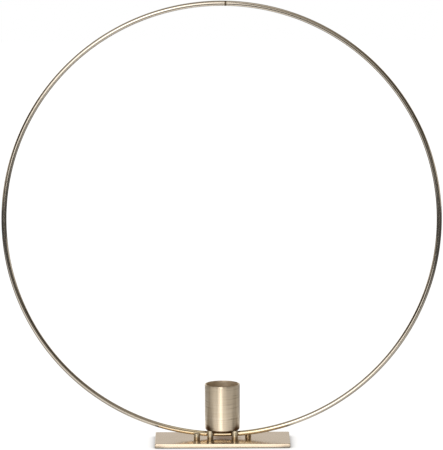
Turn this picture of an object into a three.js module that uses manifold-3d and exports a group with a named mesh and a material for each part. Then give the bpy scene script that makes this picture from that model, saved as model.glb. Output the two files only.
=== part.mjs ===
// Candle ring: one brass rod bent into an open hoop, standing upright on a small flat foot,
// with a single candle cup carried on four legs inside the bottom of the hoop.
// Millimetres. +Z is up, the hoop lies in the XZ plane and the front faces -Y.
// The origin is the middle of the foot plate's underside, where the object stands.

import * as THREE from "three";
import { mergeVertices } from "three/addons/utils/BufferGeometryUtils.js";
import Module from "manifold-3d";

// Foot plate
const PLATE_WIDTH = 92.5;
const PLATE_DEPTH = 40;
const PLATE_THICKNESS = 3;
const PLATE_CORNER_RADIUS = 1;
const PLATE_EDGE_BREAK = 0.3;

// Hoop and the butt joint where the two ends of its rod meet
const HOOP_OUTER_DIAMETER = 300;
const ROD_DIAMETER = 3.5;
const HOOP_LIFT = 0.9; // from the plate's top to the lowest point of the rod
const JOINT_GAP = 0.4;
const JOINT_TURN = THREE.MathUtils.degToRad(1.2); // how far right of the top the joint stands

// Candle cup
const CUP_DIAMETER = 24;
const CUP_HEIGHT = 31.7;
const CUP_WALL = 0.8;
const CUP_FLOOR = 1.2;
const CUP_FOOT_RADIUS = 1.3; // outside, where the wall turns into the floor
const CUP_CORNER_RADIUS = 0.6; // inside, at the same place
const CUP_RIM_BREAK = 0.25;
const CUP_CLEARANCE = 1.7; // from the top of the rod to the cup's underside

// Shouldered studs: four legs that carry the cup, and two pegs that steady the hoop
const STUD_DIAMETER = 4.3;
const ROD_TO_STUD = 0.15; // between the rod and each stud beside it
const LEG_SPACING = 16.8; // left legs to right legs
const PEG_SPACING = 35.2; // front left peg to rear right peg, along the plate
const PEG_HEIGHT = 4;
const PEG_DOME = 0.35;
const STUD_EDGE_BREAK = 0.25;

// Riveted ends of the studs, below their shoulders
const TENON_DIAMETER = 2.8;
const RIVET_DIAMETER = 4.2;
const RIVET_CONE = 0.8; // height of the cone that fills the countersink
const RIVET_RECESS = 0.25; // the riveted end stays this far inside the plate's underside
const TENON_CLEARANCE = 0.1;

// How finely the round surfaces are drawn
const HOOP_STEPS = 180;
const ROD_SIDES = 16;
const CUP_SIDES = 72;
const STUD_SIDES = 32;
const ARC_STEPS = 5;

// Sizes that follow from the ones above
const rodRadius = ROD_DIAMETER / 2;
const hoopRadius = HOOP_OUTER_DIAMETER / 2 - rodRadius;
const hoopCentre = PLATE_THICKNESS + HOOP_LIFT + HOOP_OUTER_DIAMETER / 2;
const rodTop = PLATE_THICKNESS + HOOP_LIFT + ROD_DIAMETER;
const cupBase = rodTop + CUP_CLEARANCE;
const studOffset = rodRadius + ROD_TO_STUD + STUD_DIAMETER / 2;

const polishedBrass = new THREE.MeshStandardMaterial({
  color: "#dcc79c",
  metalness: 1,
  roughness: 0.12,
});
const polishedPlate = new THREE.MeshStandardMaterial({
  color: "#d8c8ab",
  metalness: 1,
  roughness: 0.16,
});
const turnedBrass = new THREE.MeshStandardMaterial({
  color: "#cfbd98",
  metalness: 1,
  roughness: 0.38,
});

const wasm = await Module();
wasm.setup();

// A closed geometry as a solid that can be cut.
function solidOf(geometry) {
  const bare = geometry.clone();
  bare.deleteAttribute("normal");
  bare.deleteAttribute("uv");
  const merged = mergeVertices(bare, 1e-4);
  const shell = new wasm.Mesh({
    numProp: 3,
    vertProperties: merged.attributes.position.array,
    triVerts: new Uint32Array(merged.index.array),
  });
  return new wasm.Manifold(shell);
}

// A solid back as a geometry with flat facets.
function geometryOf(solid) {
  const shell = solid.getMesh();
  const indexed = new THREE.BufferGeometry();
  indexed.setAttribute("position", new THREE.BufferAttribute(shell.vertProperties, shell.numProp));
  indexed.setIndex(new THREE.BufferAttribute(shell.triVerts, 1));
  const geometry = indexed.toNonIndexed();
  geometry.computeVertexNormals();
  return geometry;
}

// Points of a quarter circle about (r, z), from angle start to angle end.
function quarterArc(r, z, radius, start, end) {
  const points = [];
  for (let i = 0; i <= ARC_STEPS; i++) {
    const angle = start + ((end - start) * i) / ARC_STEPS;
    points.push([r + radius * Math.cos(angle), z + radius * Math.sin(angle)]);
  }
  return points;
}

// A solid turned about the vertical axis from a profile of [radius, height] points.
function turned(profile, sides) {
  const points = profile.map(([r, z]) => new THREE.Vector2(r, z));
  return new THREE.LatheGeometry(points, sides).rotateX(Math.PI / 2);
}

// The rod's centre line: a circle that stops half a joint gap short of the joint on each side.
class OpenHoop extends THREE.Curve {
  getPoint(t, target = new THREE.Vector3()) {
    const halfGap = JOINT_GAP / 2 / hoopRadius;
    const joint = Math.PI / 2 - JOINT_TURN;
    const angle = joint + halfGap + t * 2 * (Math.PI - halfGap);
    return target.set(hoopRadius * Math.cos(angle), 0, hoopRadius * Math.sin(angle));
  }
}

// The hoop: a round rod swept along its open circle, with square-cut ends.
function hoopGeometry() {
  const section = new THREE.Shape().absarc(0, 0, rodRadius, 0, 2 * Math.PI);
  return new THREE.ExtrudeGeometry(section, {
    extrudePath: new OpenHoop(),
    steps: HOOP_STEPS,
    curveSegments: ROD_SIDES / 2,
    bevelEnabled: false,
  });
}

// The cup: a drawn and turned shell with a rounded foot, open at the top.
function cupGeometry() {
  const outside = CUP_DIAMETER / 2;
  const inside = outside - CUP_WALL;
  const foot = CUP_FOOT_RADIUS;
  const corner = CUP_CORNER_RADIUS;
  const rim = CUP_RIM_BREAK;
  const profile = [
    [0, 0],
    ...quarterArc(outside - foot, foot, foot, -Math.PI / 2, 0),
    [outside, CUP_HEIGHT - rim],
    [outside - rim, CUP_HEIGHT],
    [inside + rim, CUP_HEIGHT],
    [inside, CUP_HEIGHT - rim],
    ...quarterArc(inside - corner, CUP_FLOOR + corner, corner, 0, -Math.PI / 2),
    [0, CUP_FLOOR],
  ];
  return turned(profile, CUP_SIDES);
}

// Points of a shallow round dome, from its edge at (radius, base) to its top on the axis.
function domeArc(radius, base, height) {
  const sphere = (radius ** 2 + height ** 2) / (2 * height);
  const edgeAngle = Math.asin(radius / sphere);
  const points = [];
  for (let i = 0; i <= ARC_STEPS; i++) {
    const angle = edgeAngle * (1 - i / ARC_STEPS);
    points.push([sphere * Math.sin(angle), base + height - sphere * (1 - Math.cos(angle))]);
  }
  return points;
}

// A stud: riveted end, tenon, shoulder on the plate's top, and a plain body with the given end.
function studGeometry(bodyEnd) {
  const tenon = TENON_DIAMETER / 2;
  const profile = [
    [0, RIVET_RECESS],
    [RIVET_DIAMETER / 2, RIVET_RECESS],
    [tenon, RIVET_RECESS + RIVET_CONE],
    [tenon, PLATE_THICKNESS],
    [STUD_DIAMETER / 2, PLATE_THICKNESS],
    ...bodyEnd,
  ];
  return turned(profile, STUD_SIDES);
}

// The flat top of a leg, which carries the cup's underside.
function legEnd() {
  return [
    [STUD_DIAMETER / 2, cupBase - STUD_EDGE_BREAK],
    [STUD_DIAMETER / 2 - STUD_EDGE_BREAK, cupBase],
    [0, cupBase],
  ];
}

// The domed top of a peg, beside the hoop's rod.
function pegEnd() {
  const top = PLATE_THICKNESS + PEG_HEIGHT;
  return [
    [STUD_DIAMETER / 2, top - STUD_EDGE_BREAK],
    ...domeArc(STUD_DIAMETER / 2 - STUD_EDGE_BREAK, top, PEG_DOME),
  ];
}

// The hole that a stud's riveted end fills, as the solid that is cut from the plate.
function studHole() {
  const tenon = TENON_DIAMETER / 2 + TENON_CLEARANCE;
  const rivet = RIVET_DIAMETER / 2 + TENON_CLEARANCE;
  const profile = [
    [0, -PLATE_THICKNESS],
    [rivet, -PLATE_THICKNESS],
    [rivet, RIVET_RECESS],
    [tenon, RIVET_RECESS + RIVET_CONE],
    [tenon, 2 * PLATE_THICKNESS],
    [0, 2 * PLATE_THICKNESS],
  ];
  return turned(profile, STUD_SIDES);
}

// The foot plate: a cut bar with rounded corners and broken edges, drilled for every stud.
function plateGeometry(studs) {
  const x = PLATE_WIDTH / 2;
  const y = PLATE_DEPTH / 2;
  const r = PLATE_CORNER_RADIUS;
  const outline = new THREE.Shape();
  outline.absarc(x - r, y - r, r, 0, Math.PI / 2);
  outline.absarc(-x + r, y - r, r, Math.PI / 2, Math.PI);
  outline.absarc(-x + r, -y + r, r, Math.PI, 1.5 * Math.PI);
  outline.absarc(x - r, -y + r, r, 1.5 * Math.PI, 2 * Math.PI);
  const bar = new THREE.ExtrudeGeometry(outline, {
    depth: PLATE_THICKNESS - 2 * PLATE_EDGE_BREAK,
    curveSegments: ARC_STEPS,
    bevelSegments: 2,
    bevelSize: PLATE_EDGE_BREAK,
    bevelThickness: PLATE_EDGE_BREAK,
    bevelOffset: -PLATE_EDGE_BREAK,
  });
  bar.translate(0, 0, PLATE_EDGE_BREAK);
  let plate = solidOf(bar);
  for (const stud of studs) {
    plate = plate.subtract(solidOf(studHole().translate(stud.x, stud.y, 0)));
  }
  return geometryOf(plate);
}

function piece(name, geometry, material) {
  const mesh = new THREE.Mesh(geometry, material);
  mesh.name = name;
  return mesh;
}

// Where the studs stand: the legs straddle the rod under the cup, one peg is in front of the rod
// on the left and the other behind it on the right.
const legX = LEG_SPACING / 2;
const pegX = PEG_SPACING / 2;
const studs = [
  { name: "cup_leg_front_left", x: -legX, y: -studOffset, bodyEnd: legEnd() },
  { name: "cup_leg_front_right", x: legX, y: -studOffset, bodyEnd: legEnd() },
  { name: "cup_leg_rear_left", x: -legX, y: studOffset, bodyEnd: legEnd() },
  { name: "cup_leg_rear_right", x: legX, y: studOffset, bodyEnd: legEnd() },
  { name: "hoop_peg_front", x: -pegX, y: -studOffset, bodyEnd: pegEnd() },
  { name: "hoop_peg_rear", x: pegX, y: studOffset, bodyEnd: pegEnd() },
];

const foot = new THREE.Group();
foot.add(piece("base_plate", plateGeometry(studs), polishedPlate));
for (const { name, x, y, bodyEnd } of studs) {
  const stud = piece(name, studGeometry(bodyEnd), polishedBrass);
  stud.position.set(x, y, 0);
  foot.add(stud);
}

const hoop = piece("hoop_rod", hoopGeometry(), polishedBrass);
hoop.position.z = hoopCentre;

const cup = piece("candle_cup", cupGeometry(), turnedBrass);
cup.position.z = cupBase;

const candleRing = new THREE.Group();
candleRing.add(foot, hoop, cup);

export default candleRing;
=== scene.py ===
# Candle ring: a brass hoop that stands on a small flat foot, with one candle cup inside its base.
# Metres, +Z up. The hoop lies in the XZ plane and the front faces -Y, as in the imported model.

import math

import bmesh
import bpy
from mathutils import Matrix, Vector


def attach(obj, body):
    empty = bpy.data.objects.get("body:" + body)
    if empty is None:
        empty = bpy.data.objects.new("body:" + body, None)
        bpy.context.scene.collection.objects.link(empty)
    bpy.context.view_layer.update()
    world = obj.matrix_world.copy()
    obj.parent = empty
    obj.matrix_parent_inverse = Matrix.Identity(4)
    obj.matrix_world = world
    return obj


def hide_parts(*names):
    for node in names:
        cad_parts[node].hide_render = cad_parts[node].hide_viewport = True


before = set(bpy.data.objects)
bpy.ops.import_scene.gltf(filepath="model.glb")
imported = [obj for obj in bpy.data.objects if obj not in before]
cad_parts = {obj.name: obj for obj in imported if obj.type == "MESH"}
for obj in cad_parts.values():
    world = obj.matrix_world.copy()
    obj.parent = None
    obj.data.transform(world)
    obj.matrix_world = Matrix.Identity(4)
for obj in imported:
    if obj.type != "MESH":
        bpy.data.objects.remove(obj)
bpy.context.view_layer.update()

MM = 0.001


# Foot plate
# A length of 3 mm brass bar with its edges broken, drilled and countersunk from below for the six
# studs that are riveted into it, then polished and lacquered. It mirrors the hoop above it.
PLATE_WIDTH = 92.5 * MM
PLATE_DEPTH = 40 * MM
PLATE_THICKNESS = 3 * MM
PLATE_CORNER_RADIUS = 1 * MM
PLATE_EDGE_BREAK = 0.3 * MM
LEG_SPACING = 16.8 * MM
PEG_SPACING = 35.2 * MM
STUD_OFFSET = 4.05 * MM  # from the middle of the plate to each row of studs
HOLE_RADIUS = 1.5 * MM
COUNTERSINK_RADIUS = 2.2 * MM
COUNTERSINK_TOP = 1.05 * MM
COUNTERSINK_BASE = 0.25 * MM
DRILL_OVERRUN = 1 * MM  # the shape that cuts a hole stands out of the plate by this much

PLATE_COLOUR = "#e2cfb9"
PLATE_SHADE = "#d8c4a8"
PLATE_ROUGHNESS = (0.12, 0.26)  # at its glossiest and at its dullest, as for each metal below
STROKE_SHARE = 0.4  # of the polishing strokes in what mottles the plate
# Painted shade: the plate is painted brown under the cup and rod, between the studs.
UNDER_CUP_SHADE = "#a07649"
SHADE_MIDDLE = (2.5 * MM, 0.0, 0.0)
SHADE_REACH = (13 * MM, 4.8 * MM, 1.0)
SHADE_RAGGED = 0.7  # how far the painted shade's edge wanders, as a share of its reach
UNDER_CUP_DULLING = 0.22  # what the painted shade adds to the plate's own roughness where it is full

CORNER_STEPS = 8
EDGE_STEPS = 4
STUD_SIDES = 48
ON_AXIS = 1e-9  # a radius below this is a point on the axis
SHARP_ANGLE = math.radians(40)  # an edge sharper than this shows as an edge
FLAT_ANGLE = math.radians(1)  # and so does one above this beside a large flat face
PLATE_FLAT_AREA = 20 * MM**2  # only the plate's large flat faces are above this


def linear(colour):
    """An sRGB hex colour as the linear colour that a shader takes."""
    channels = [int(colour[i:i + 2], 16) / 255 for i in (1, 3, 5)]
    straight = [c / 12.92 if c <= 0.04045 else ((c + 0.055) / 1.055) ** 2.4 for c in channels]
    return (*straight, 1.0)


def add(tree, kind, inputs=None, **settings):
    """Adds a node with its settings. Each input is a plain value or another node's output."""
    made = tree.nodes.new(kind)
    for name, value in settings.items():
        setattr(made, name, value)
    for name, value in (inputs or {}).items():
        if isinstance(value, bpy.types.NodeSocket):
            tree.links.new(value, made.inputs[name])
        else:
            made.inputs[name].default_value = value
    return made


def metal(name, anisotropic=0.0):
    """A new bare metal material, with its node tree and its shader."""
    material = bpy.data.materials.new(name)
    material.use_nodes = True
    tree = material.node_tree
    tree.nodes.clear()
    shader = add(tree, "ShaderNodeBsdfPrincipled", {"Metallic": 1.0, "Anisotropic": anisotropic})
    add(tree, "ShaderNodeOutputMaterial", {"Surface": shader.outputs["BSDF"]})
    return material, tree, shader


def skin(bm, loops):
    """Joins each closed loop of points to the next one with faces. A loop of one point is a pole."""
    for lower, upper in zip(loops, loops[1:]):
        count = max(len(lower), len(upper))
        for i in range(count):
            j = (i + 1) % count
            corners = [
                lower[i % len(lower)],
                lower[j % len(lower)],
                upper[j % len(upper)],
                upper[i % len(upper)],
            ]
            bm.faces.new(list(dict.fromkeys(corners)))


def mesh_from(bm, name):
    """The finished bmesh as a new mesh whose faces point outwards."""
    bmesh.ops.recalc_face_normals(bm, faces=bm.faces)
    mesh = bpy.data.meshes.new(name)
    bm.to_mesh(mesh)
    bm.free()
    return mesh


def turned(name, profile, sides):
    """A closed mesh turned about Z from (radius, height) points that start and end on the axis."""
    bm = bmesh.new()
    loops = []
    for radius, height in profile:
        if radius < ON_AXIS:
            loops.append([bm.verts.new((0, 0, height))])
            continue
        turn = [2 * math.pi * i / sides for i in range(sides)]
        ring = [(radius * math.cos(a), radius * math.sin(a), height) for a in turn]
        loops.append([bm.verts.new(point) for point in ring])
    skin(bm, loops)
    return mesh_from(bm, name)


def joined(name, meshes):
    """One new mesh in place of several."""
    bm = bmesh.new()
    for mesh in meshes:
        bm.from_mesh(mesh)
        bpy.data.meshes.remove(mesh)
    return mesh_from(bm, name)


def arc(radius, height, size, start, end, steps):
    """Profile points on an arc about (radius, height), with its angles in degrees."""
    turn = [math.radians(start + (end - start) * i / steps) for i in range(steps + 1)]
    return [(radius + size * math.cos(a), height + size * math.sin(a)) for a in turn]


def shade(mesh, flat_area=1.0):
    """Faces shade smoothly, and those above the area stay flat right up to their edges."""
    bm = bmesh.new()
    bm.from_mesh(mesh)
    for face in bm.faces:
        face.smooth = True
    for edge in bm.edges:
        angle = edge.calc_face_angle(0.0)
        beside_flat = any(face.calc_area() > flat_area for face in edge.link_faces)
        edge.smooth = angle < SHARP_ANGLE and not (beside_flat and angle > FLAT_ANGLE)
    bm.to_mesh(mesh)
    bm.free()


def as_piece(name, mesh):
    """A new object at the origin that shows the mesh."""
    made = bpy.data.objects.new(name, mesh)
    bpy.context.scene.collection.objects.link(made)
    return made


def applied(piece):
    """The piece's mesh with its modifiers' work in it. The modifiers are removed from the piece."""
    evaluated = piece.evaluated_get(bpy.context.evaluated_depsgraph_get())
    mesh = bpy.data.meshes.new_from_object(evaluated)
    piece.modifiers.clear()
    piece.data = mesh
    return mesh


def plate_outline(bm, inset, height):
    """The plate's outline with its rounded corners, drawn in by the inset, as a loop of points."""
    across = PLATE_WIDTH / 2 - PLATE_CORNER_RADIUS
    along = PLATE_DEPTH / 2 - PLATE_CORNER_RADIUS
    middles = [(across, along, 0), (-across, along, 90), (-across, -along, 180), (across, -along, 270)]
    points = []
    for x, y, start in middles:
        points += arc(x, y, PLATE_CORNER_RADIUS - inset, start, start + 90, CORNER_STEPS)
    return [bm.verts.new((x, y, height)) for x, y in points]


bm = bmesh.new()
loops = []
for on_top in (False, True):
    for step in range(EDGE_STEPS + 1):
        turn = math.radians(90 / EDGE_STEPS * (EDGE_STEPS - step if on_top else step))
        inset = PLATE_EDGE_BREAK * (1 - math.sin(turn))
        rise = PLATE_EDGE_BREAK * (1 - math.cos(turn))
        loops.append(plate_outline(bm, inset, PLATE_THICKNESS - rise if on_top else rise))
skin(bm, loops)
bm.faces.new(list(reversed(loops[0])))
bm.faces.new(loops[-1])
plate = as_piece("foot_plate", mesh_from(bm, "foot_plate"))

hole_profile = [
    (0, -DRILL_OVERRUN),
    (COUNTERSINK_RADIUS, -DRILL_OVERRUN),
    (COUNTERSINK_RADIUS, COUNTERSINK_BASE),
    (HOLE_RADIUS, COUNTERSINK_TOP),
    (HOLE_RADIUS, PLATE_THICKNESS + DRILL_OVERRUN),
    (0, PLATE_THICKNESS + DRILL_OVERRUN),
]
leg_places = [(x * LEG_SPACING / 2, y * STUD_OFFSET) for x in (-1, 1) for y in (-1, 1)]
peg_places = [(-PEG_SPACING / 2, -STUD_OFFSET), (PEG_SPACING / 2, STUD_OFFSET)]
holes = []
for x, y in leg_places + peg_places:
    hole = turned("stud_hole", hole_profile, STUD_SIDES)
    hole.transform(Matrix.Translation((x, y, 0)))
    holes.append(hole)
drill = as_piece("stud_holes", joined("stud_holes", holes))
drilling = plate.modifiers.new("drilling", "BOOLEAN")
drilling.operation = "DIFFERENCE"
drilling.solver = "EXACT"
drilling.object = drill
plate_mesh = applied(plate)
bpy.data.objects.remove(drill)
shade(plate_mesh, PLATE_FLAT_AREA)

# Polished brass under clear lacquer: a pale, slightly soft mirror. The polishing strokes run along
# the plate, 0.05 mm apart on the real one and drawn 1 mm apart here, and blur what it mirrors
# unevenly. Between the studs, under the cup and rod, it is painted brown as painted shade, with less
# gloss there.
polished_plate, tree, shader = metal("polished lacquered brass plate")
place = add(tree, "ShaderNodeTexCoord").outputs["Object"]
cloud = add(tree, "ShaderNodeTexNoise", {"Vector": place, "Scale": 70.0, "Detail": 3.0})
along = add(tree, "ShaderNodeVectorMath", {0: place, 1: (0.03, 1.0, 1.0)}, operation="MULTIPLY")
strokes = add(tree, "ShaderNodeTexNoise", {
    "Vector": along.outputs[0],
    "Scale": 1000.0,
    "Detail": 2.0,
})
patchy = add(tree, "ShaderNodeMath", {
    0: cloud.outputs["Fac"],
    1: 1 - STROKE_SHARE,
}, operation="MULTIPLY")
mottle = add(tree, "ShaderNodeMath", {
    0: strokes.outputs["Fac"],
    1: STROKE_SHARE,
    2: patchy.outputs[0],
}, operation="MULTIPLY_ADD")
tint = add(tree, "ShaderNodeMix", {
    "Factor": mottle.outputs[0],
    "A": linear(PLATE_COLOUR),
    "B": linear(PLATE_SHADE),
}, data_type="RGBA")
# The painted shade under the cup and rod: brown and duller, with a ragged edge.
moved = add(tree, "ShaderNodeVectorMath", {0: place, 1: SHADE_MIDDLE}, operation="SUBTRACT")
spread = add(tree, "ShaderNodeVectorMath", {0: moved.outputs[0], 1: SHADE_REACH}, operation="DIVIDE")
from_middle = add(tree, "ShaderNodeVectorMath", {0: spread.outputs[0]}, operation="LENGTH")
ragged = add(tree, "ShaderNodeTexNoise", {"Vector": place, "Scale": 240.0, "Detail": 3.0})
shade_edge = add(tree, "ShaderNodeMath", {
    0: ragged.outputs["Fac"],
    1: SHADE_RAGGED,
    2: from_middle.outputs["Value"],
}, operation="MULTIPLY_ADD")
shade_mask = add(tree, "ShaderNodeMapRange", {
    "Value": shade_edge.outputs[0],
    "From Min": 0.75,
    "From Max": 1.4,
    "To Min": 0.9,
    "To Max": 0.0,
}, interpolation_type="SMOOTHSTEP")
stain_and_shade = add(tree, "ShaderNodeMix", {
    "Factor": shade_mask.outputs[0],
    "A": tint.outputs["Result"],
    "B": linear(UNDER_CUP_SHADE),
}, data_type="RGBA")
tree.links.new(stain_and_shade.outputs["Result"], shader.inputs["Base Color"])
soft = add(tree, "ShaderNodeMath", {
    0: mottle.outputs[0],
    1: PLATE_ROUGHNESS[1] - PLATE_ROUGHNESS[0],
    2: PLATE_ROUGHNESS[0],
}, operation="MULTIPLY_ADD")
dulled = add(tree, "ShaderNodeMath", {
    0: shade_mask.outputs[0],
    1: UNDER_CUP_DULLING,
    2: soft.outputs[0],
}, operation="MULTIPLY_ADD")
tree.links.new(dulled.outputs[0], shader.inputs["Roughness"])
bump = add(tree, "ShaderNodeBump", {
    "Height": strokes.outputs["Fac"],
    "Strength": 0.2,
    "Distance": 0.01 * MM,
})
tree.links.new(bump.outputs["Normal"], shader.inputs["Normal"])
plate_mesh.materials.append(polished_plate)

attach(plate, "root")
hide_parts("base_plate")


# Studs
# Six shouldered studs turned from 4.3 mm brass rod, each riveted into its countersunk hole. Four
# flat-topped legs straddle the hoop and carry the cup. Two short domed pegs steady the hoop.
STUD_RADIUS = 2.15 * MM
STUD_EDGE_BREAK = 0.25 * MM
SHOULDER_BAND = 0.3 * MM  # the height of the first band of faces above the shoulder
TENON_RADIUS = 1.4 * MM
RIVET_RADIUS = 2.1 * MM
RIVET_BASE = 0.25 * MM
RIVET_TOP = 1.05 * MM
CUP_BASE = 9.1 * MM
PEG_TOP = 7 * MM
PEG_DOME = 0.35 * MM

STUD_COLOUR = "#e6dac2"
STUD_SHADE = "#ccbd9f"
# painted shade at each stud's foot, where it meets the plate
STUD_FOOT_SHADE = "#a38456"
STUD_ROUGHNESS = (0.34, 0.5)

stud_shank = [
    (0, RIVET_BASE),
    (RIVET_RADIUS, RIVET_BASE),
    (TENON_RADIUS, RIVET_TOP),
    (TENON_RADIUS, PLATE_THICKNESS),
    (STUD_RADIUS, PLATE_THICKNESS),
    (STUD_RADIUS, PLATE_THICKNESS + SHOULDER_BAND),
]
leg_top = [
    (STUD_RADIUS, CUP_BASE - 2 * STUD_EDGE_BREAK),
    *arc(STUD_RADIUS - STUD_EDGE_BREAK, CUP_BASE - STUD_EDGE_BREAK, STUD_EDGE_BREAK, 0, 90, 4),
    (0, CUP_BASE),
]
dome_edge = STUD_RADIUS - STUD_EDGE_BREAK
dome_radius = (dome_edge**2 + PEG_DOME**2) / (2 * PEG_DOME)
dome_angle = math.degrees(math.asin(dome_edge / dome_radius))
peg_top = [
    (STUD_RADIUS, PEG_TOP - 2 * STUD_EDGE_BREAK),
    *arc(dome_edge, PEG_TOP - STUD_EDGE_BREAK, STUD_EDGE_BREAK, 0, 90 - dome_angle, 3),
    *arc(0, PEG_TOP + PEG_DOME - dome_radius, dome_radius, 90 - dome_angle, 90, 8)[1:],
]


def shape_tree(name, inputs, output):
    """A new Geometry Nodes tree with these inputs and this output, and what its inputs give."""
    tree = bpy.data.node_groups.new(name, "GeometryNodeTree")
    for label, kind in inputs.items():
        tree.interface.new_socket(label, in_out="INPUT", socket_type=kind)
    tree.interface.new_socket(output, in_out="OUTPUT", socket_type="NodeSocketGeometry")
    return tree, add(tree, "NodeGroupInput").outputs


# One tree sets a piece at the corners of a rectangle, or at two opposite corners only. Those of the
# rear row are turned half way round.
studs_tree, given = shape_tree("studs on the plate", {
    "Piece": "NodeSocketGeometry",
    "Columns apart": "NodeSocketFloat",
    "Rows apart": "NodeSocketFloat",
    "Opposite corners only": "NodeSocketBool",
    "Material": "NodeSocketMaterial",
}, "Pieces")
corners = add(studs_tree, "GeometryNodeMeshGrid", {
    "Size X": given["Columns apart"],
    "Size Y": given["Rows apart"],
    "Vertices X": 2,
    "Vertices Y": 2,
})
place = add(studs_tree, "GeometryNodeInputPosition").outputs["Position"]
axes = add(studs_tree, "ShaderNodeSeparateXYZ", {0: place}).outputs
quarter = add(studs_tree, "ShaderNodeMath", {0: axes["X"], 1: axes["Y"]}, operation="MULTIPLY")
diagonal = add(studs_tree, "FunctionNodeCompare", {
    0: quarter.outputs[0],
    1: 0.0,
}, operation="GREATER_THAN")
chosen = add(studs_tree, "FunctionNodeBooleanMath", {
    0: given["Opposite corners only"],
    1: diagonal.outputs[0],
}, operation="IMPLY")
in_rear = add(studs_tree, "FunctionNodeCompare", {0: axes["Y"], 1: 0.0}, operation="GREATER_THAN")
half_turn = add(studs_tree, "ShaderNodeMath", {0: in_rear.outputs[0], 1: math.pi}, operation="MULTIPLY")
facing = add(studs_tree, "ShaderNodeCombineXYZ", {"Z": half_turn.outputs[0]})
set_out = add(studs_tree, "GeometryNodeInstanceOnPoints", {
    "Points": corners.outputs["Mesh"],
    "Selection": chosen.outputs[0],
    "Instance": given["Piece"],
    "Rotation": facing.outputs[0],
})
real = add(studs_tree, "GeometryNodeRealizeInstances", {0: set_out.outputs[0]})
coated = add(studs_tree, "GeometryNodeSetMaterial", {0: real.outputs[0], "Material": given["Material"]})
add(studs_tree, "NodeGroupOutput", {0: coated.outputs[0]})


def apply_tree(piece, tree, values):
    """Runs a node tree on the piece with its named inputs and keeps the result as a plain mesh."""
    modifier = piece.modifiers.new(tree.name, "NODES")
    modifier.node_group = tree
    sockets = [item for item in tree.interface.items_tree if item.item_type == "SOCKET"]
    identifiers = {socket.name: socket.identifier for socket in sockets}
    for name, value in values.items():
        modifier[identifiers[name]] = value
    return applied(piece)


# Polished brass, turned: a pale, slightly blurred mirror with faint rings round it. Real rings are
# 0.05 mm apart and these are 0.5 mm apart. Each foot is painted brown, as painted shade where it meets
# the plate.
polished_stud, tree, shader = metal("polished turned brass stud")
place = add(tree, "ShaderNodeTexCoord").outputs["Object"]
flattened = add(tree, "ShaderNodeVectorMath", {0: place, 1: (0.1, 0.1, 1.0)}, operation="MULTIPLY")
rings = add(tree, "ShaderNodeTexNoise", {
    "Vector": flattened.outputs[0],
    "Scale": 2000.0,
    "Detail": 2.0,
})
tint = add(tree, "ShaderNodeMix", {
    "Factor": rings.outputs["Fac"],
    "A": linear(STUD_COLOUR),
    "B": linear(STUD_SHADE),
}, data_type="RGBA")
# Painted shade: each stud is painted darker brown towards its foot, where it meets the plate.
height = add(tree, "ShaderNodeSeparateXYZ", {0: place}).outputs["Z"]
painted_darkening = add(tree, "ShaderNodeMapRange", {
    "Value": height,
    "From Min": PLATE_THICKNESS + 1.0 * MM,
    "From Max": PLATE_THICKNESS + 2.4 * MM,
    "To Min": 0.6,
    "To Max": 0.0,
}, interpolation_type="SMOOTHSTEP")
stain_and_shade = add(tree, "ShaderNodeMix", {
    "Factor": painted_darkening.outputs[0],
    "A": tint.outputs["Result"],
    "B": linear(STUD_FOOT_SHADE),
}, data_type="RGBA")
tree.links.new(stain_and_shade.outputs["Result"], shader.inputs["Base Color"])
soft = add(tree, "ShaderNodeMath", {
    0: rings.outputs["Fac"],
    1: STUD_ROUGHNESS[1] - STUD_ROUGHNESS[0],
    2: STUD_ROUGHNESS[0],
}, operation="MULTIPLY_ADD")
tree.links.new(soft.outputs[0], shader.inputs["Roughness"])
bump = add(tree, "ShaderNodeBump", {
    "Height": rings.outputs["Fac"],
    "Strength": 0.2,
    "Distance": 0.02 * MM,
})
tree.links.new(bump.outputs["Normal"], shader.inputs["Normal"])

legs = as_piece("cup_legs", turned("cup_legs", stud_shank + leg_top, STUD_SIDES))
legs_mesh = apply_tree(legs, studs_tree, {
    "Columns apart": LEG_SPACING,
    "Rows apart": 2 * STUD_OFFSET,
    "Opposite corners only": False,
    "Material": polished_stud,
})
shade(legs_mesh)
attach(legs, "root")
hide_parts("cup_leg_front_left", "cup_leg_front_right", "cup_leg_rear_left", "cup_leg_rear_right")

pegs = as_piece("hoop_pegs", turned("hoop_pegs", stud_shank + peg_top, STUD_SIDES))
pegs_mesh = apply_tree(pegs, studs_tree, {
    "Columns apart": PEG_SPACING,
    "Rows apart": 2 * STUD_OFFSET,
    "Opposite corners only": True,
    "Material": polished_stud,
})
shade(pegs_mesh)
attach(pegs, "root")
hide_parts("hoop_peg_front", "hoop_peg_rear")


# Hoop
# One 3.5 mm brass rod bent into a circle 300 mm across. Its square-cut ends meet in a butt joint
# just right of the top, and it is brazed between the studs, just clear of the plate.
HOOP_OUTER_RADIUS = 150 * MM
ROD_RADIUS = 1.75 * MM
HOOP_LIFT = 0.9 * MM
JOINT_GAP = 0.4 * MM
JOINT_TURN = math.radians(1.2)
HOOP_POINTS = 721
ROD_SIDES = 32
hoop_radius = HOOP_OUTER_RADIUS - ROD_RADIUS
hoop_centre = PLATE_THICKNESS + HOOP_LIFT + HOOP_OUTER_RADIUS
half_gap = JOINT_GAP / 2 / hoop_radius
hoop_length = 2 * (math.pi - half_gap) * hoop_radius
hoop_foot = (0.0, 0.0, PLATE_THICKNESS + HOOP_LIFT)

ROD_COLOUR = "#d5cbbd"
ROD_SHADE = "#c9bdaa"
ROD_ROUGHNESS = (0.05, 0.19)
# painted reflection of the brass plate and cup, on the rod near the foot
FOOT_REFLECTION_GOLD = "#e1cfac"
SOLDER_STAIN = "#6e5836"

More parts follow.
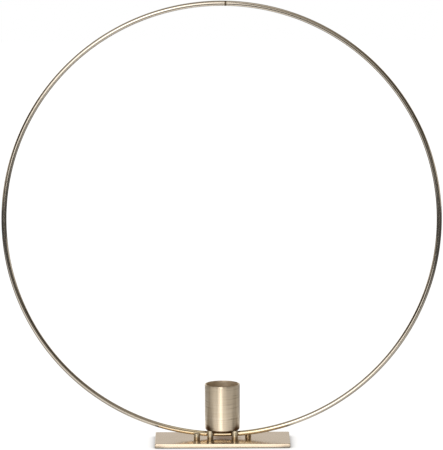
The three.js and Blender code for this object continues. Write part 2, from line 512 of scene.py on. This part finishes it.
# The tree draws the open circle of the rod's centre line and runs the rod's round section along it.
# It keeps each point's place in the section and along the rod for the material.
hoop_tree, given = shape_tree("rod bent to a hoop", {
    "Hoop radius": "NodeSocketFloat",
    "Rod radius": "NodeSocketFloat",
    "Centre": "NodeSocketVector",
    "Start angle": "NodeSocketFloat",
    "Sweep angle": "NodeSocketFloat",
    "Material": "NodeSocketMaterial",
}, "Hoop")
line = add(hoop_tree, "GeometryNodeCurveArc", {
    "Resolution": HOOP_POINTS,
    "Radius": given["Hoop radius"],
    "Start Angle": given["Start angle"],
    "Sweep Angle": given["Sweep angle"],
})
stood = add(hoop_tree, "GeometryNodeTransform", {
    "Geometry": line.outputs[0],
    "Translation": given["Centre"],
    "Rotation": (math.pi / 2, 0, 0),
})
length = add(hoop_tree, "GeometryNodeSplineParameter").outputs["Length"]
line_kept = add(hoop_tree, "GeometryNodeStoreNamedAttribute", {
    "Geometry": stood.outputs[0],
    "Name": "along",
    "Value": length,
}, data_type="FLOAT", domain="POINT")
section = add(hoop_tree, "GeometryNodeCurvePrimitiveCircle", {
    "Resolution": ROD_SIDES,
    "Radius": given["Rod radius"],
})
place = add(hoop_tree, "GeometryNodeInputPosition").outputs["Position"]
section_kept = add(hoop_tree, "GeometryNodeStoreNamedAttribute", {
    "Geometry": section.outputs[0],
    "Name": "section",
    "Value": place,
}, data_type="FLOAT_VECTOR", domain="POINT")
swept = add(hoop_tree, "GeometryNodeCurveToMesh", {
    "Curve": line_kept.outputs[0],
    "Profile Curve": section_kept.outputs[0],
    "Fill Caps": True,
})
real = add(hoop_tree, "GeometryNodeRealizeInstances", {0: swept.outputs[0]})
coated = add(hoop_tree, "GeometryNodeSetMaterial", {0: real.outputs[0], "Material": given["Material"]})
add(hoop_tree, "NodeGroupOutput", {0: coated.outputs[0]})

# Polished brass, drawn: a clear mirror, slightly greyed, with faint lines along the rod from the
# drawing die. Real lines are 0.02 mm apart and these are 0.3 mm apart. Handling has left softer
# patches, and the solder a brown stain on both ends. Near the foot the rod is painted golden, a painted
# reflection of the brass plate and cup.
polished_rod, tree, shader = metal("polished drawn brass rod")
section_place = add(tree, "ShaderNodeAttribute", attribute_name="section").outputs["Vector"]
drawn = add(tree, "ShaderNodeTexNoise", {"Vector": section_place, "Scale": 3300.0, "Detail": 2.0})
place = add(tree, "ShaderNodeTexCoord").outputs["Object"]
handled = add(tree, "ShaderNodeTexNoise", {"Vector": place, "Scale": 45.0, "Detail": 4.0})
tint = add(tree, "ShaderNodeMix", {
    "Factor": handled.outputs["Fac"],
    "A": linear(ROD_COLOUR),
    "B": linear(ROD_SHADE),
}, data_type="RGBA")
from_start = add(tree, "ShaderNodeAttribute", attribute_name="along").outputs["Fac"]
from_end = add(tree, "ShaderNodeMath", {0: hoop_length, 1: from_start}, operation="SUBTRACT")
from_joint = add(tree, "ShaderNodeMath", {0: from_start, 1: from_end.outputs[0]}, operation="MINIMUM")
heated = add(tree, "ShaderNodeMapRange", {
    "Value": from_joint.outputs[0],
    "From Min": 0.1 * MM,
    "From Max": 0.9 * MM,
    "To Min": 0.8,
    "To Max": 0.0,
}, interpolation_type="SMOOTHSTEP")
stain_and_shade = add(tree, "ShaderNodeMix", {
    "Factor": heated.outputs[0],
    "A": tint.outputs["Result"],
    "B": linear(SOLDER_STAIN),
}, data_type="RGBA")
# Painted reflection: the rod is painted golden near the foot, where the brass plate and cup mirror in
# it.
from_foot = add(tree, "ShaderNodeVectorMath", {0: place, 1: hoop_foot}, operation="DISTANCE")
reflection_near_foot = add(tree, "ShaderNodeMapRange", {
    "Value": from_foot.outputs["Value"],
    "From Min": 20 * MM,
    "From Max": 60 * MM,
    "To Min": 0.9,
    "To Max": 0.0,
}, interpolation_type="SMOOTHSTEP")
golden = add(tree, "ShaderNodeMix", {
    "Factor": reflection_near_foot.outputs[0],
    "A": stain_and_shade.outputs["Result"],
    "B": linear(FOOT_REFLECTION_GOLD),
}, data_type="RGBA")
tree.links.new(golden.outputs["Result"], shader.inputs["Base Color"])
soft = add(tree, "ShaderNodeMath", {
    0: handled.outputs["Fac"],
    1: ROD_ROUGHNESS[1] - ROD_ROUGHNESS[0],
    2: ROD_ROUGHNESS[0],
}, operation="MULTIPLY_ADD")
tree.links.new(soft.outputs[0], shader.inputs["Roughness"])
bump = add(tree, "ShaderNodeBump", {
    "Height": drawn.outputs["Fac"],
    "Strength": 0.15,
    "Distance": 0.02 * MM,
})
tree.links.new(bump.outputs["Normal"], shader.inputs["Normal"])

hoop = as_piece("hoop", bpy.data.meshes.new("hoop"))
hoop_mesh = apply_tree(hoop, hoop_tree, {
    "Hoop radius": hoop_radius,
    "Rod radius": ROD_RADIUS,
    "Centre": (0.0, 0.0, hoop_centre),
    "Start angle": math.pi / 2 - JOINT_TURN + half_gap,
    "Sweep angle": 2 * (math.pi - half_gap),
    "Material": polished_rod,
})
shade(hoop_mesh)
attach(hoop, "root")
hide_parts("hoop_rod")


# Solder in the joint
# The hoop's ends are joined with a film of solder that has run into the joint and darkened there.
# A small bead of it hangs at the rod's lower edge, where it wasn't filed off.
SOLDER_RADIUS = 1.68 * MM
SOLDER_EDGE_RADIUS = 0.1 * MM
SOLDER_SIDES = 48
BEAD_RADIUS = 0.42 * MM
BEAD_PLACE = (0.8 * SOLDER_RADIUS, -0.55 * SOLDER_RADIUS, 0)  # in the plane of the joint
BEAD_SIDES = 20

SOLDER_COLOUR = "#57492f"
SOLDER_SHADE = "#3a2f20"
SOLDER_ROUGHNESS = (0.3, 0.6)

flat_radius = SOLDER_RADIUS - SOLDER_EDGE_RADIUS
film_mesh = turned("solder_film", [
    (0, -JOINT_GAP / 2),
    (flat_radius, -JOINT_GAP / 2),
    *arc(flat_radius, 0, SOLDER_EDGE_RADIUS, -60, 60, 4),
    (flat_radius, JOINT_GAP / 2),
    (0, JOINT_GAP / 2),
], SOLDER_SIDES)
bead_mesh = turned("solder_bead", arc(0, 0, BEAD_RADIUS, -90, 90, 10), BEAD_SIDES)
bead_mesh.transform(Matrix.Translation(BEAD_PLACE))
solder_mesh = joined("joint_solder", [film_mesh, bead_mesh])
joint_place = Vector((
    math.sin(JOINT_TURN) * hoop_radius,
    0,
    hoop_centre + math.cos(JOINT_TURN) * hoop_radius,
))
across_rod = Matrix.Rotation(math.pi / 2 + JOINT_TURN, 4, "Y")
solder_mesh.transform(Matrix.Translation(joint_place) @ across_rod)
shade(solder_mesh)
solder = as_piece("joint_solder", solder_mesh)

# Oxidised solder: dark brown, dull and slightly lumpy, with lumps of about 0.3 mm.
oxidised_solder, tree, shader = metal("oxidised solder")
place = add(tree, "ShaderNodeTexCoord").outputs["Object"]
lumps = add(tree, "ShaderNodeTexNoise", {"Vector": place, "Scale": 3000.0, "Detail": 3.0})
tint = add(tree, "ShaderNodeMix", {
    "Factor": lumps.outputs["Fac"],
    "A": linear(SOLDER_COLOUR),
    "B": linear(SOLDER_SHADE),
}, data_type="RGBA")
tree.links.new(tint.outputs["Result"], shader.inputs["Base Color"])
soft = add(tree, "ShaderNodeMath", {
    0: lumps.outputs["Fac"],
    1: SOLDER_ROUGHNESS[1] - SOLDER_ROUGHNESS[0],
    2: SOLDER_ROUGHNESS[0],
}, operation="MULTIPLY_ADD")
tree.links.new(soft.outputs[0], shader.inputs["Roughness"])
bump = add(tree, "ShaderNodeBump", {
    "Height": lumps.outputs["Fac"],
    "Strength": 0.5,
    "Distance": 0.05 * MM,
})
tree.links.new(bump.outputs["Normal"], shader.inputs["Normal"])
solder_mesh.materials.append(oxidised_solder)

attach(solder, "root")


# Braze fillets
# Brazing brass has run into the narrow places between the rod and each stud beside it, and stands
# there as a hollow fillet. It holds the hoop to the studs. The heat has left it brown.
FILLET_SIZE = 0.9 * MM
FILLET_REACH = 1.3 * MM  # up and down from the middle of the rod
FILLET_LAYERS = 24
FILLET_STEPS = 8
SINK_IN_ROD = 0.3 * MM
SINK_IN_STUD = (0.5, 0.9)  # where the fillet ends in the stud, as shares of its edge's X and Y

BRAZE_COLOUR = "#c39a62"
BRAZE_SHADE = "#8a6238"
BRAZE_ROUGHNESS = (0.15, 0.45)


def fillet(name, rod_height, low, high):
    """A braze fillet between a stud on the Z axis and the rod behind it, hollow on both sides."""
    bm = bmesh.new()
    loops = []
    for step in range(1, FILLET_LAYERS):
        part = step / FILLET_LAYERS
        height = low + (high - low) * part
        half_rod = math.sqrt(max(ROD_RADIUS**2 - (height - rod_height) ** 2, 0))
        face_of_rod = STUD_OFFSET - half_rod
        hollow = (face_of_rod - STUD_RADIUS) / 2 + FILLET_SIZE * math.sin(math.pi * part)
        behind = face_of_rod - hollow
        aside = math.sqrt((STUD_RADIUS + hollow) ** 2 - behind**2)
        end = 180 + math.degrees(math.atan2(behind, aside))
        right = arc(aside, behind, hollow, 90, end, FILLET_STEPS)
        in_stud = (SINK_IN_STUD[0] * right[-1][0], SINK_IN_STUD[1] * right[-1][1])
        right = [(aside, face_of_rod + SINK_IN_ROD), *right, in_stud]
        outline = right + [(-x, y) for x, y in reversed(right)]
        loops.append([bm.verts.new((x, y, height)) for x, y in outline])
    skin(bm, loops)
    bm.faces.new(loops[0])
    bm.faces.new(list(reversed(loops[-1])))
    return mesh_from(bm, name)


# Brown braze: brass with a thin oxide, duller than the rod, with ripples about 0.8 mm apart.
oxidised_braze, tree, shader = metal("oxidised brazing brass")
place = add(tree, "ShaderNodeTexCoord").outputs["Object"]
ripples = add(tree, "ShaderNodeTexNoise", {"Vector": place, "Scale": 1200.0, "Detail": 3.0})
tint = add(tree, "ShaderNodeMix", {
    "Factor": ripples.outputs["Fac"],
    "A": linear(BRAZE_COLOUR),
    "B": linear(BRAZE_SHADE),
}, data_type="RGBA")
tree.links.new(tint.outputs["Result"], shader.inputs["Base Color"])
soft = add(tree, "ShaderNodeMath", {
    0: ripples.outputs["Fac"],
    1: BRAZE_ROUGHNESS[1] - BRAZE_ROUGHNESS[0],
    2: BRAZE_ROUGHNESS[0],
}, operation="MULTIPLY_ADD")
tree.links.new(soft.outputs[0], shader.inputs["Roughness"])
bump = add(tree, "ShaderNodeBump", {
    "Height": ripples.outputs["Fac"],
    "Strength": 0.5,
    "Distance": 0.1 * MM,
})
tree.links.new(bump.outputs["Normal"], shader.inputs["Normal"])

for name, columns_apart, opposite_only, top in (
    ("leg_braze", LEG_SPACING, False, CUP_BASE),
    ("peg_braze", PEG_SPACING, True, PEG_TOP),
):
    rod_height = hoop_centre - math.sqrt(hoop_radius**2 - (columns_apart / 2) ** 2)
    low = rod_height - FILLET_REACH
    high = min(rod_height + FILLET_REACH, top)
    braze = as_piece(name, fillet(name, rod_height, low, high))
    braze_mesh = apply_tree(braze, studs_tree, {
        "Columns apart": columns_apart,
        "Rows apart": 2 * STUD_OFFSET,
        "Opposite corners only": opposite_only,
        "Material": oxidised_braze,
    })
    shade(braze_mesh)
    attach(braze, "root")


# Candle cup
# A cup 24 mm across for a dinner candle, drawn from brass sheet and turned on the outside, which
# leaves fine rings round the wall. It is brazed onto the four legs above the rod.
CUP_RADIUS = 12 * MM
CUP_HEIGHT = 31.7 * MM
CUP_WALL = 0.8 * MM
CUP_FLOOR = 1.2 * MM
CUP_FOOT_RADIUS = 1.3 * MM
CUP_CORNER_RADIUS = 0.6 * MM
CUP_RIM_BREAK = 0.25 * MM
CUP_FLAT_BAND = 0.2 * MM  # a narrow band round each flat, which keeps its shading true
CUP_SIDES = 128
CUP_WALL_STEPS = 24
BORE_TOLERANCE = 0.01 * MM

CUP_COLOUR = "#ebddc9"
CUP_SHADE = "#d6c3a4"
CUP_ROUGHNESS = (0.25, 0.35)
BORE_ROUGHNESS = (0.6, 0.8)
RING_SHADE = "#a58d69"
RING_DEPTH = 1.5  # weight of the few deep rings in the relief, beside 1 for the fine ones
# painted dark reflection on the foot and painted shade round each leg
FOOT_SHADE_BROWN = "#6b4a2a"
FOOT_SHADE_RAGGED = 2.5 * MM  # how far the edge of the painted shade wanders
LEG_SHADE_MIDDLE = (LEG_SPACING / 2, 5.5 * MM, CUP_BASE)  # the middle of the painted shade round each leg

bore = CUP_RADIUS - CUP_WALL
rim = CUP_BASE + CUP_HEIGHT - CUP_RIM_BREAK
wall_start = CUP_BASE + CUP_FOOT_RADIUS
inner_start = CUP_BASE + CUP_FLOOR + CUP_CORNER_RADIUS
inner_floor = CUP_BASE + CUP_FLOOR
up_the_wall = [i / CUP_WALL_STEPS for i in range(1, CUP_WALL_STEPS)]
cup_profile = [
    (0, CUP_BASE),
    (CUP_RADIUS - CUP_FOOT_RADIUS - CUP_FLAT_BAND, CUP_BASE),
    *arc(CUP_RADIUS - CUP_FOOT_RADIUS, wall_start, CUP_FOOT_RADIUS, -90, 0, 8),
    *[(CUP_RADIUS, wall_start + (rim - wall_start) * t) for t in up_the_wall],
    *arc(CUP_RADIUS - CUP_RIM_BREAK, rim, CUP_RIM_BREAK, 0, 90, 3),
    *arc(bore + CUP_RIM_BREAK, rim, CUP_RIM_BREAK, 90, 180, 3),
    *[(bore, inner_start + (rim - inner_start) * t) for t in reversed(up_the_wall)],
    *arc(bore - CUP_CORNER_RADIUS, inner_start, CUP_CORNER_RADIUS, 0, -90, 6),
    (bore - CUP_CORNER_RADIUS - CUP_FLAT_BAND, inner_floor),
    (0, inner_floor),
]
cup_mesh = turned("candle_cup_shell", cup_profile, CUP_SIDES)
shade(cup_mesh)
cup = as_piece("candle_cup_shell", cup_mesh)

# Satin turned brass: the rings scatter light up and down the wall and hardly sideways, so a lamp
# shows as one upright stripe. Real rings are 0.1 mm apart. The fine ones here are 0.5 mm apart, and
# a few deeper, darker ones lie 2 to 5 mm apart. The foot is painted brown, a painted dark reflection
# of the rod and plate below, and so is the wall above each leg, as painted shade.
turned_brass, tree, shader = metal("satin turned brass", anisotropic=1.0)
place = add(tree, "ShaderNodeTexCoord").outputs["Object"]
axes = add(tree, "ShaderNodeSeparateXYZ", {0: place}).outputs
minus_y = add(tree, "ShaderNodeMath", {0: axes["Y"], 1: -1.0}, operation="MULTIPLY")
round_about = add(tree, "ShaderNodeCombineXYZ", {"X": minus_y.outputs[0], "Y": axes["X"]})
outwards = add(tree, "ShaderNodeNewGeometry").outputs["Normal"]
across_rings = add(tree, "ShaderNodeVectorMath", {
    0: round_about.outputs[0],
    1: outwards,
}, operation="CROSS_PRODUCT")
across_unit = add(tree, "ShaderNodeVectorMath", {0: across_rings.outputs[0]}, operation="NORMALIZE")
tree.links.new(across_unit.outputs[0], shader.inputs["Tangent"])
squeezed = add(tree, "ShaderNodeVectorMath", {0: place, 1: (0.02, 0.02, 1.0)}, operation="MULTIPLY")
rings = add(tree, "ShaderNodeTexNoise", {
    "Vector": squeezed.outputs[0],
    "Scale": 1800.0,
    "Detail": 3.0,
})
tint = add(tree, "ShaderNodeMix", {
    "Factor": rings.outputs["Fac"],
    "A": linear(CUP_COLOUR),
    "B": linear(CUP_SHADE),
}, data_type="RGBA")
wavering = add(tree, "ShaderNodeVectorMath", {0: place, 1: (0.05, 0.05, 1.0)}, operation="MULTIPLY")
tool_marks = add(tree, "ShaderNodeTexNoise", {
    "Vector": wavering.outputs[0],
    "Scale": 1400.0,
    "Detail": 2.0,
})
deep = add(tree, "ShaderNodeMapRange", {
    "Value": tool_marks.outputs["Fac"],
    "From Min": 0.58,
    "From Max": 0.72,
    "To Min": 0.0,
    "To Max": 0.5,
})
ringed = add(tree, "ShaderNodeMix", {
    "Factor": deep.outputs[0],
    "A": tint.outputs["Result"],
    "B": linear(RING_SHADE),
}, data_type="RGBA")
# Painted shade round the top of each leg and painted dark reflection of the rod and plate on the foot,
# both brown.
one_side = add(tree, "ShaderNodeVectorMath", {0: place}, operation="ABSOLUTE")
from_leg = add(tree, "ShaderNodeVectorMath", {0: one_side.outputs[0], 1: LEG_SHADE_MIDDLE}, operation="DISTANCE")
ragged = add(tree, "ShaderNodeTexNoise", {"Vector": place, "Scale": 350.0, "Detail": 3.0})
leg_shade_edge = add(tree, "ShaderNodeMath", {
    0: ragged.outputs["Fac"],
    1: FOOT_SHADE_RAGGED,
    2: from_leg.outputs["Value"],
}, operation="MULTIPLY_ADD")
painted_darkening = add(tree, "ShaderNodeMapRange", {
    "Value": leg_shade_edge.outputs[0],
    "From Min": 4.0 * MM,
    "From Max": 7.0 * MM,
    "To Min": 0.95,
    "To Max": 0.0,
}, interpolation_type="SMOOTHSTEP")
above_foot = add(tree, "ShaderNodeMath", {0: axes["Z"], 1: CUP_BASE}, operation="SUBTRACT")
foot_reflection = add(tree, "ShaderNodeMapRange", {
    "Value": above_foot.outputs[0],
    "From Min": 0.3 * MM,
    "From Max": 1.3 * MM,
    "To Min": 0.8,
    "To Max": 0.0,
}, interpolation_type="SMOOTHSTEP")
foot_and_leg_shade = add(tree, "ShaderNodeMath", {
    0: painted_darkening.outputs[0],
    1: foot_reflection.outputs[0],
}, operation="MAXIMUM")
stain_and_shade = add(tree, "ShaderNodeMix", {
    "Factor": foot_and_leg_shade.outputs[0],
    "A": ringed.outputs["Result"],
    "B": linear(FOOT_SHADE_BROWN),
}, data_type="RGBA")
tree.links.new(stain_and_shade.outputs["Result"], shader.inputs["Base Color"])
soft = add(tree, "ShaderNodeMath", {
    0: rings.outputs["Fac"],
    1: CUP_ROUGHNESS[1] - CUP_ROUGHNESS[0],
    2: CUP_ROUGHNESS[0],
}, operation="MULTIPLY_ADD")
tree.links.new(soft.outputs[0], shader.inputs["Roughness"])
relief = add(tree, "ShaderNodeMath", {
    0: deep.outputs[0],
    1: -RING_DEPTH,
    2: rings.outputs["Fac"],
}, operation="MULTIPLY_ADD")
bump = add(tree, "ShaderNodeBump", {
    "Height": relief.outputs[0],
    "Strength": 0.3,
    "Distance": 0.05 * MM,
})
tree.links.new(bump.outputs["Normal"], shader.inputs["Normal"])
cup_mesh.materials.append(turned_brass)

# Inside, the drawn sheet is left as it came from the press: pale, even and softly matt, with a
# cloudiness of about 3 mm.
pressed_brass, tree, shader = metal("pressed brass sheet")
place = add(tree, "ShaderNodeTexCoord").outputs["Object"]
cloud = add(tree, "ShaderNodeTexNoise", {"Vector": place, "Scale": 300.0, "Detail": 3.0})
tint = add(tree, "ShaderNodeMix", {
    "Factor": cloud.outputs["Fac"],
    "A": linear(CUP_COLOUR),
    "B": linear(CUP_SHADE),
}, data_type="RGBA")
tree.links.new(tint.outputs["Result"], shader.inputs["Base Color"])
soft = add(tree, "ShaderNodeMath", {
    0: cloud.outputs["Fac"],
    1: BORE_ROUGHNESS[1] - BORE_ROUGHNESS[0],
    2: BORE_ROUGHNESS[0],
}, operation="MULTIPLY_ADD")
tree.links.new(soft.outputs[0], shader.inputs["Roughness"])
cup_mesh.materials.append(pressed_brass)
for face in cup_mesh.polygons:
    in_bore = face.center.xy.length < bore + BORE_TOLERANCE
    if in_bore and face.center.z > inner_floor - BORE_TOLERANCE:
        face.material_index = 1

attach(cup, "root")
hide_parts("candle_cup")


# Studio
# A wide white table in a room that is dark on the camera's side. Tall soft lamps stand beside the
# camera and further left, a wide one hangs overhead, low pale walls are at both sides, and a pale
# backdrop is behind the object.
TABLE_HALF_WIDTH = 2.0
TABLE_NEAR = -2.0
TABLE_FAR = 3.0
TABLE_DROP = 0.05 * MM  # keeps the table's face off the plate's underside
TABLE_GREY = (0.45, 0.45, 0.45, 1.0)
TABLE_LIFT = 0.88  # what the table shows the camera above its own grey
TABLE_DIM = 0.09  # what metal sees of the table away from the lit places
CONTACT_REACH = 8 * MM
CONTACT_FOR_CAMERA = 1.5  # how strongly the table darkens where the object stands close above it
CONTACT_FOR_METAL = 5.5
WHITE = (1.0, 1.0, 1.0, 1.0)

table_mesh = bpy.data.meshes.new("table_top")
table_corners = [
    (-TABLE_HALF_WIDTH, TABLE_NEAR, -TABLE_DROP),
    (TABLE_HALF_WIDTH, TABLE_NEAR, -TABLE_DROP),
    (TABLE_HALF_WIDTH, TABLE_FAR, -TABLE_DROP),
    (-TABLE_HALF_WIDTH, TABLE_FAR, -TABLE_DROP),
]
table_mesh.from_pydata(table_corners, [], [(0, 1, 2, 3)])
table = as_piece("table_top", table_mesh)

# The camera sees the table as white with the object's soft shadow on it. Metal sees it as it stands
# in the lamps' light: bright round the object, with a white card in front, and dark further off and
# close beside the foot. Each lit place has its middle, its reach along X and Y, how soft its edge is
# as a share of the reach, and its radiance.
lit_places = {
    "lamp's light in front of the object": ((-0.175, -0.113, 0), (0.413, 0.085, 1), 1.2, 1.4),
    "narrow light towards the camera": ((0.061, -0.667, 0), (0.047, 0.28, 1), 0.5, 1.6),
    "light round the object": ((0, 0, 0), (0.4, 0.25, 1), 0.6, 0.5),
    "brighter round the foot": ((0, 0, 0), (0.085, 0.065, 1), 0.3, 0.8),
    "brightest before and behind the foot": ((0, 0, 0), (0.045, 0.09, 1), 0.15, 1.7),
    "white card in front of the foot": ((-0.004, -0.037, 0), (0.11, 0.01, 1), 0.4, 1.9),
}
table_paint = bpy.data.materials.new("matt white table top")
table_paint.use_nodes = True
tree = table_paint.node_tree
tree.nodes.clear()
place = add(tree, "ShaderNodeTexCoord").outputs["Object"]
lit = TABLE_DIM
for middle, reach, softness, radiance in lit_places.values():
    moved = add(tree, "ShaderNodeVectorMath", {0: place, 1: middle}, operation="SUBTRACT")
    scaled = add(tree, "ShaderNodeVectorMath", {0: moved.outputs[0], 1: reach}, operation="DIVIDE")
    distance = add(tree, "ShaderNodeVectorMath", {0: scaled.outputs[0]}, operation="LENGTH")
    patch = add(tree, "ShaderNodeMapRange", {
        "Value": distance.outputs["Value"],
        "From Min": 1 - softness,
        "From Max": 1 + softness,
        "To Min": radiance,
        "To Max": 0.0,
    }, interpolation_type="SMOOTHSTEP")
    lit = add(tree, "ShaderNodeMath", {0: lit, 1: patch.outputs[0]}, operation="MAXIMUM").outputs[0]
contact = add(tree, "ShaderNodeAmbientOcclusion", {"Distance": CONTACT_REACH}, samples=8).outputs["AO"]
open_part = add(tree, "ShaderNodeMath", {0: contact, 1: CONTACT_FOR_CAMERA}, operation="POWER")
ray = add(tree, "ShaderNodeLightPath").outputs
matt = add(tree, "ShaderNodeBsdfDiffuse", {"Color": TABLE_GREY})
raised = add(tree, "ShaderNodeMath", {0: open_part.outputs[0], 1: TABLE_LIFT}, operation="MULTIPLY")
lift = add(tree, "ShaderNodeEmission", {"Color": WHITE, "Strength": raised.outputs[0]})
lifted = add(tree, "ShaderNodeAddShader", {0: matt.outputs[0], 1: lift.outputs[0]})
hidden = add(tree, "ShaderNodeMath", {0: contact, 1: CONTACT_FOR_METAL}, operation="POWER")
shaded = add(tree, "ShaderNodeMath", {0: lit, 1: hidden.outputs[0]}, operation="MULTIPLY")
mirrored = add(tree, "ShaderNodeEmission", {"Color": WHITE, "Strength": shaded.outputs[0]})
for_camera = add(tree, "ShaderNodeMixShader", {
    0: ray["Is Camera Ray"],
    1: matt.outputs[0],
    2: lifted.outputs[0],
})
for_metal = add(tree, "ShaderNodeMixShader", {
    0: ray["Is Glossy Ray"],
    1: for_camera.outputs[0],
    2: mirrored.outputs[0],
})
add(tree, "ShaderNodeOutputMaterial", {"Surface": for_metal.outputs[0]})
table_mesh.materials.append(table_paint)

# The lamps and the backdrop are soft patches in the surroundings. Each has its azimuth, half width
# and soft edge, its elevation, half height and soft edge, in degrees, and its radiance.
# Azimuth 0 is the camera's side and grows to the right.
studio_lights = {
    "tall lamp beside the camera": (-13, 16, 4, 20, 28, 5, 1.9),
    "tall lamp further left": (-36, 26, 5, 36, 17, 10, 1.05),
    "hot middle of the lamp": (-11, 6.5, 4, 18, 18, 6, 4.0),
    "wall right of the camera": (16, 9, 4, 18, 23, 15, 0.54),
    "pale wall on the right": (119, 26, 10, 24, 10, 20, 0.52),
    "low wall on the left": (-100, 30, 12, 2, 10, 8, 0.5),
    "low wall on the right": (98, 34, 12, 1, 10, 8, 0.75),
    "lit backdrop on the left": (-154, 18, 4, 6, 20, 10, 1.5),
    "backdrop": (174, 40, 16, 6, 24, 6, 0.69),
    "overhead lamp": (51, 54, 21, 77, 10, 6, 1.2),
}
ROOM_LEVEL = 0.03
CEILING_LEVEL = 0.4
CEILING_START = math.radians(20)
CEILING_FULL = math.radians(65)
DIM_WALL = "#fff2dc"
world = bpy.data.worlds.new("studio")
bpy.context.scene.world = world
world.use_nodes = True
tree = world.node_tree
tree.nodes.clear()
direction = add(tree, "ShaderNodeTexCoord").outputs["Generated"]
axes = add(tree, "ShaderNodeSeparateXYZ", {0: direction}).outputs
towards_camera = add(tree, "ShaderNodeMath", {0: axes["Y"], 1: -1.0}, operation="MULTIPLY")
azimuth = add(tree, "ShaderNodeMath", {
    0: axes["X"],
    1: towards_camera.outputs[0],
}, operation="ARCTAN2").outputs[0]
elevation = add(tree, "ShaderNodeMath", {0: axes["Z"]}, operation="ARCSINE").outputs[0]
ceiling = add(tree, "ShaderNodeMapRange", {
    "Value": elevation,
    "From Min": CEILING_START,
    "From Max": CEILING_FULL,
    "To Min": ROOM_LEVEL,
    "To Max": CEILING_LEVEL,
}, interpolation_type="SMOOTHSTEP")
room = ceiling.outputs[0]
for middle, half, edge, height, half_height, height_edge, radiance in studio_lights.values():
    turn = add(tree, "ShaderNodeMath", {0: azimuth, 1: math.radians(middle)}, operation="SUBTRACT")
    wrapped = add(tree, "ShaderNodeMath", {
        0: turn.outputs[0],
        1: math.pi,
        2: -math.pi,
    }, operation="WRAP")
    aside = add(tree, "ShaderNodeMath", {0: wrapped.outputs[0]}, operation="ABSOLUTE")
    across = add(tree, "ShaderNodeMapRange", {
        "Value": aside.outputs[0],
        "From Min": math.radians(half - edge),
        "From Max": math.radians(half + edge),
        "To Min": radiance,
        "To Max": 0.0,
    }, interpolation_type="SMOOTHSTEP")
    above = add(tree, "ShaderNodeMath", {0: elevation, 1: math.radians(height)}, operation="SUBTRACT")
    away = add(tree, "ShaderNodeMath", {0: above.outputs[0]}, operation="ABSOLUTE")
    upright = add(tree, "ShaderNodeMapRange", {
        "Value": away.outputs[0],
        "From Min": math.radians(half_height - height_edge),
        "From Max": math.radians(half_height + height_edge),
        "To Min": 1.0,
        "To Max": 0.0,
    }, interpolation_type="SMOOTHSTEP")
    patch = add(tree, "ShaderNodeMath", {
        0: across.outputs[0],
        1: upright.outputs[0],
    }, operation="MULTIPLY")
    room = add(tree, "ShaderNodeMath", {0: room, 1: patch.outputs[0]}, operation="MAXIMUM").outputs[0]

# The camera sees the surroundings as plain white. Metal sees the room, whose dim parts are warmer
# than its lamps.
ray = add(tree, "ShaderNodeLightPath").outputs
seen = add(tree, "ShaderNodeMix", {
    "Factor": ray["Is Camera Ray"],
    "A": room,
    "B": 1.0,
}, data_type="FLOAT")
tone = add(tree, "ShaderNodeMix", {
    "Factor": seen.outputs[0],
    "A": linear(DIM_WALL),
    "B": WHITE,
}, data_type="RGBA")
glow = add(tree, "ShaderNodeBackground", {"Color": tone.outputs["Result"], "Strength": seen.outputs[0]})
add(tree, "ShaderNodeOutputWorld", {"Surface": glow.outputs[0]})

# The camera stands 2.3 m in front and a little above, far enough away for the hoop to look round.
CAMERA_DISTANCE = 2.283
CAMERA_ELEVATION = math.radians(8.378)
CAMERA_YAW = math.radians(-0.228)
CAMERA_ROLL = math.radians(-0.223)
CAMERA_TARGET = Vector((-0.000123, 0.0, 0.150892))
CAMERA_LENS = 268.1  # in millimetres, like the sensor's width
SENSOR_WIDTH = 36
back = Vector((
    math.sin(CAMERA_YAW) * math.cos(CAMERA_ELEVATION),
    -math.cos(CAMERA_YAW) * math.cos(CAMERA_ELEVATION),
    math.sin(CAMERA_ELEVATION),
))
lens = bpy.data.cameras.new("camera")
lens.sensor_width = SENSOR_WIDTH
lens.lens = CAMERA_LENS
camera = bpy.data.objects.new("camera", lens)
bpy.context.scene.collection.objects.link(camera)
camera.matrix_world = (
    Matrix.Translation(CAMERA_TARGET + back * CAMERA_DISTANCE)
    @ back.to_track_quat("Z", "Y").to_matrix().to_4x4()
    @ Matrix.Rotation(CAMERA_ROLL, 4, "Z")
)
bpy.context.scene.camera = camera
bpy.context.scene.view_settings.view_transform = "Standard"
